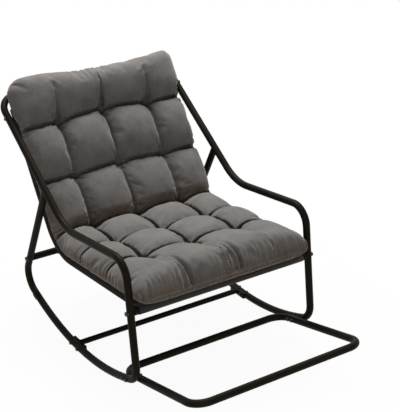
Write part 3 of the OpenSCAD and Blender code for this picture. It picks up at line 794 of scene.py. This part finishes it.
def add_values(obj, name, values):
    """Stores a value per point, which a subdivision carries over to the new points."""
    layer = obj.data.attributes.new(name, "FLOAT", "POINT")
    layer.data.foreach_set("value", np.asarray(values, np.float32))


def read_values(obj, name):
    values = np.empty(len(obj.data.vertices), np.float32)
    obj.data.attributes[name].data.foreach_get("value", values)
    return values


def fold_in(obj, folds):
    """Presses folds into the cover's top, along its normals."""
    mesh = obj.data
    count = len(mesh.vertices)
    flat = np.stack([read_values(obj, "run"), read_values(obj, "across")], -1)
    depth = np.zeros(count)
    for fold in folds:
        start, end = np.asarray(fold.start, float), np.asarray(fold.end, float)
        way = end - start
        along = np.clip((flat - start) @ way / (way @ way), 0, 1)
        yarn_gap_shade = np.linalg.norm(flat - start - along[:, None] * way, axis=1)
        fade = smooth(FADE_RATE * (1 - along)) if fold.fades else 1.0
        depth += fold.depth * fade * np.exp(-((yarn_gap_shade / fold.wide) ** 2))
    depth = np.minimum(depth, DEEPEST) * smooth(read_values(obj, "top"))
    points = np.empty(count * 3)
    normals = np.empty(count * 3, np.float32)
    mesh.vertices.foreach_get("co", points)
    mesh.vertex_normals.foreach_get("vector", normals)
    mesh.vertices.foreach_set("co", points - normals * np.repeat(depth, 3))
    mesh.update()


def subdivide(obj):
    """One smooth subdivision, applied to the mesh."""
    modifier = obj.modifiers.new("smooth", "SUBSURF")
    modifier.levels = modifier.render_levels = 1
    shaped = obj.evaluated_get(bpy.context.evaluated_depsgraph_get())
    mesh = bpy.data.meshes.new_from_object(shaped)
    obj.modifiers.remove(modifier)
    old = obj.data
    obj.data = mesh
    bpy.data.meshes.remove(old)
    mesh.shade_smooth()


def make_cushion():
    """The cushion's cover, swelled by its filling, with folds at its tufts and seams."""
    pad = Cushion()
    obj = pad.build("cushion_cover")
    inflate(obj, pad.hold(), pad.slack())
    subdivide(obj)
    fold_in(obj, pad.valleys())
    paint(obj, VELVET)
    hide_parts("cushion")
    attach(obj, "cushion")


# Sling


def wrapped_end(at, turn_side):
    """A sleeve's mid-line, as (s, h) steps from the hem's end round the bar to the seam."""
    slope = math.acos(SLEEVE_R / SEAM_AT)
    under = -SLING_T - REST_GAP
    turn = np.linspace(-slope, slope - 2 * math.pi, SLEEVE_STEPS)
    arc = [(SLEEVE_R * math.cos(a), SLEEVE_R * math.sin(a)) for a in turn]
    path = [(SEAM_AT + HEM, under), (SEAM_AT, under)] + arc + [(SEAM_AT, 0.0)]
    return [(at + turn_side * s, h) for s, h in path]


def sheet_object(name, sections, xs, keep=None):
    """A thin sheet: its side-view points swept over the places xs, with real thickness."""
    rows, cols = len(sections), len(xs)
    points = [(x, y, z) for y, z in sections for x in xs]
    faces = []
    for i in range(rows - 1):
        for j in range(cols - 1):
            if keep is None or keep(i, j):
                k = i * cols + j
                faces.append((k, k + 1, k + cols + 1, k + cols))
    obj = mesh_object(name, points, faces)
    tidy = bmesh.new()
    tidy.from_mesh(obj.data)
    bmesh.ops.delete(tidy, geom=[p for p in tidy.verts if not p.link_faces], context="VERTS")
    tidy.to_mesh(obj.data)
    tidy.free()
    thick = obj.modifiers.new("thickness", "SOLIDIFY")
    thick.thickness = SLING_T
    thick.offset = 0
    paint(obj, CLOTH)
    return obj


def stitch_row(name, ends_of_stitches):
    """A row of stitches: each is a short spindle of thread between two places."""
    points, faces = [], []
    for a, b in ends_of_stitches:
        a, b = np.array(a), np.array(b)
        along = (b - a) / np.linalg.norm(b - a)
        side = np.cross(along, SLANT)
        side /= np.linalg.norm(side)
        other = np.cross(along, side)
        first = len(points)
        points.append(a)
        for share in STITCH_SHOULDERS:
            for k in range(STITCH_SIDES):
                angle = 2 * math.pi / STITCH_SIDES * k
                around = math.cos(angle) * side + math.sin(angle) * other
                points.append(a + share * (b - a) + STITCH_R * around)
        points.append(b)
        last = len(points) - 1
        near, far = first + 1, first + 1 + STITCH_SIDES
        for k in range(STITCH_SIDES):
            j = (k + 1) % STITCH_SIDES
            faces.append((first, near + j, near + k))
            faces.append((near + k, near + j, far + j, far + k))
            faces.append((far + k, far + j, last))
    obj = mesh_object(name, points, faces)
    paint(obj, THREAD)
    return obj


def stitches(xs, y, z):
    """The ends of the stitches that start at the places xs, at one y and z."""
    return [((x, y, z), (x + STITCH_SHARE * STITCH_STEP, y, z)) for x in xs]


def across(s, h, half_w):
    """Stitches across the sling at length s and height h."""
    y, z = line.at(s, h)
    count = int(2 * half_w / STITCH_STEP)
    return stitches(np.linspace(-half_w, half_w, count + 1)[:-1], y, z)


def sleeve_width():
    """Length of the top sleeve: the straight part of the top bar, less a gap at both ends."""
    low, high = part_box("back_top_loop")
    return (high.x - low.x) - 2 * (TUBE_R + BACK_BEND_R + SLEEVE_GAP)


def seam_places():
    """Where a seam's rows of stitches lie: distance from the bar and height, on both faces."""
    outer, inner = SLING_T / 2, -1.5 * SLING_T - REST_GAP
    return [(SEAM_AT + past, face) for past in STITCH_ROWS for face in (outer, inner)]


def keep_on_frame(*pieces):
    for piece in pieces:
        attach(piece, "frame")


def make_sling():
    """The sling, in one sheet from sleeve to sleeve, narrower at the top sleeve."""
    inner_w = sleeve_width()
    front = wrapped_end(0.0, 1)
    top = wrapped_end(line.length, -1)[::-1]
    count = round((line.length - 2 * SEAM_AT) / CLOTH_CELL)
    middle = [(s, 0.0) for s in np.linspace(SEAM_AT, line.length - SEAM_AT, count + 1)[1:-1]]
    path = front + middle + top
    sections = [line.at(s, h) for s, h in path]
    columns = round(inner_w / CLOTH_CELL)
    inner = np.linspace(-inner_w / 2, inner_w / 2, columns + 1)
    xs = np.concatenate([[-SLING_W / 2], inner, [SLING_W / 2]])
    top_start = len(front) + len(middle)

    def keep(i, j):
        return 0 < j < len(xs) - 2 or i < top_start

    obj = sheet_object("sling_cloth", sections, xs, keep)
    seams = []
    for at, face in seam_places():
        seams += across(at, face, SLING_W / 2 - STITCH_MARGIN)
        seams += across(line.length - at, face, inner_w / 2 - STITCH_MARGIN)
    thread_rows = stitch_row("sling_stitches", seams)
    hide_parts("seat_sling")
    keep_on_frame(obj, thread_rows)


def make_tie_panel():
    """The panel from a seam under the sling's hip to a sleeve round the rear crossbar."""
    bar = center_of("rear_crossbar")
    bar = np.array([bar.y, bar.z])
    seam_s = line.seat + TIE_SEAM * line.hip
    ply = SLING_T + REST_GAP
    seam = line.at(seam_s, -ply)
    along = (bar - seam) / np.linalg.norm(bar - seam)
    left = np.array([-along[1], along[0]])
    reach = np.linalg.norm(bar - seam)
    flange = [line.at(seam_s - TIE_FLANGE * t, -ply) for t in FLANGE_STEPS]
    slope = math.acos(SLEEVE_R / SEAM_AT)
    turn = np.linspace(math.pi - slope, slope - math.pi, SLEEVE_STEPS)
    arc = [(reach + SLEEVE_R * math.cos(a), SLEEVE_R * math.sin(a)) for a in turn]
    count = round((reach - SEAM_AT) / CLOTH_CELL)
    straight = [(s, 0.0) for s in np.linspace(0, reach - SEAM_AT, count + 1)[1:]]
    hem = [(reach - SEAM_AT, -ply), (reach - SEAM_AT - HEM, -ply)]
    sections = flange + [seam + s * along + h * left for s, h in straight + arc + hem]
    xs = np.linspace(-TIE_W / 2, TIE_W / 2, round(TIE_W / CLOTH_CELL) + 1)
    obj = sheet_object("tie_panel_cloth", sections, xs)
    half = TIE_W / 2 - STITCH_MARGIN
    seams = []
    for at, face in seam_places():
        y, z = seam + (reach - at) * along + face * left
        seams += stitches(np.arange(-half, half - STITCH_STEP, STITCH_STEP), y, z)
    for share in FLANGE_ROWS:
        seams += across(seam_s - TIE_FLANGE * share, -ply - SLING_T / 2, half)
    thread_rows = stitch_row("tie_panel_stitches", seams)
    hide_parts("sling_tie_panel")
    keep_on_frame(obj, thread_rows)


# Stage


def floor_paint():
    """White floor: it takes shadows near the chair and turns to plain white further out."""
    n = Nodes("floor")
    at = n.add("ShaderNodeTexCoord").outputs["Object"]
    away = n.add("ShaderNodeVectorMath", {0: at}, operation="LENGTH").outputs["Value"]
    far = n.ramp(away, FLOOR_NEAR, FLOOR_FAR, FLOOR_WHITE, 1)
    seen = n.multiply(sharp_rays(n.tree), far)
    n.finish(Base_Color=colour(0.74, 0.69, 0.64), Roughness=0.9, Specular_IOR_Level=0.0)
    white = n.add("ShaderNodeEmission", {"Color": colour(1, 1, 1), "Strength": 1.0})
    blend = n.add("ShaderNodeMixShader", {0: seen})
    n.tree.links.new(n.shader.outputs[0], blend.inputs[1])
    n.tree.links.new(white.outputs[0], blend.inputs[2])
    n.tree.links.new(blend.outputs[0], n.tree.nodes["Material Output"].inputs["Surface"])
    return n.material


def make_stage():
    half = FLOOR_HALF
    corners = [(-half, -half, 0), (half, -half, 0), (half, half, 0), (-half, half, 0)]
    floor = mesh_object("floor", corners, [(0, 1, 2, 3)], smooth=False)
    paint(floor, floor_paint())


def area_light(name, at, aim, size, power):
    data = bpy.data.lights.new(name, "AREA")
    data.shape = "SQUARE"
    data.size = size
    data.energy = power
    obj = bpy.data.objects.new(name, data)
    obj.location = at
    obj.rotation_mode = "QUATERNION"
    obj.rotation_quaternion = (Vector(aim) - Vector(at)).to_track_quat("-Z", "Y")
    bpy.context.scene.collection.objects.link(obj)


def make_world(strength):
    """A dim white world that shows as plain white to the camera and in reflections."""
    world = bpy.data.worlds.new("studio")
    world.use_nodes = True
    tree = world.node_tree
    background = tree.nodes["Background"]
    background.inputs["Color"].default_value = colour(1, 1, 1)
    level = tree.nodes.new("ShaderNodeMapRange")
    level.inputs["To Min"].default_value = strength
    level.inputs["To Max"].default_value = 1.0
    tree.links.new(sharp_rays(tree), level.inputs["Value"])
    tree.links.new(level.outputs["Result"], background.inputs["Strength"])
    bpy.context.scene.world = world


def make_lights():
    """A key light from above and behind, and a weak one from the camera's side."""
    make_world(WORLD_LIGHT)
    area_light("key", at=(0.5, 1.35, 3.1), aim=(0.05, 0, 0.4), size=1.3, power=KEY_WATTS)
    area_light("front", at=(-1.7, -3.2, 1.2), aim=(0, 0, 0.4), size=1.2, power=FRONT_WATTS)


def make_camera():
    """The photograph's camera, which looks at the chair from its right front."""
    data = bpy.data.cameras.new("camera")
    data.sensor_width = 36.0
    data.lens = FOCAL_PX / max(IMAGE_W, IMAGE_H) * data.sensor_width
    back = Vector(
        (
            math.sin(CAMERA_AZIMUTH) * math.cos(CAMERA_ELEVATION),
            -math.cos(CAMERA_AZIMUTH) * math.cos(CAMERA_ELEVATION),
            math.sin(CAMERA_ELEVATION),
        )
    )
    turn = (-back).to_track_quat("-Z", "Y").to_matrix() @ Matrix.Rotation(CAMERA_ROLL, 3, "Z")
    obj = bpy.data.objects.new("camera", data)
    obj.matrix_world = Matrix.Translation(CAMERA_AT) @ turn.to_4x4()
    bpy.context.scene.collection.objects.link(obj)
    bpy.context.scene.camera = obj


make_camera()
make_stage()
make_lights()
paint_frame()
make_cushion()
make_sling()
make_tie_panel()

bpy.context.scene.view_settings.view_transform = "Standard"
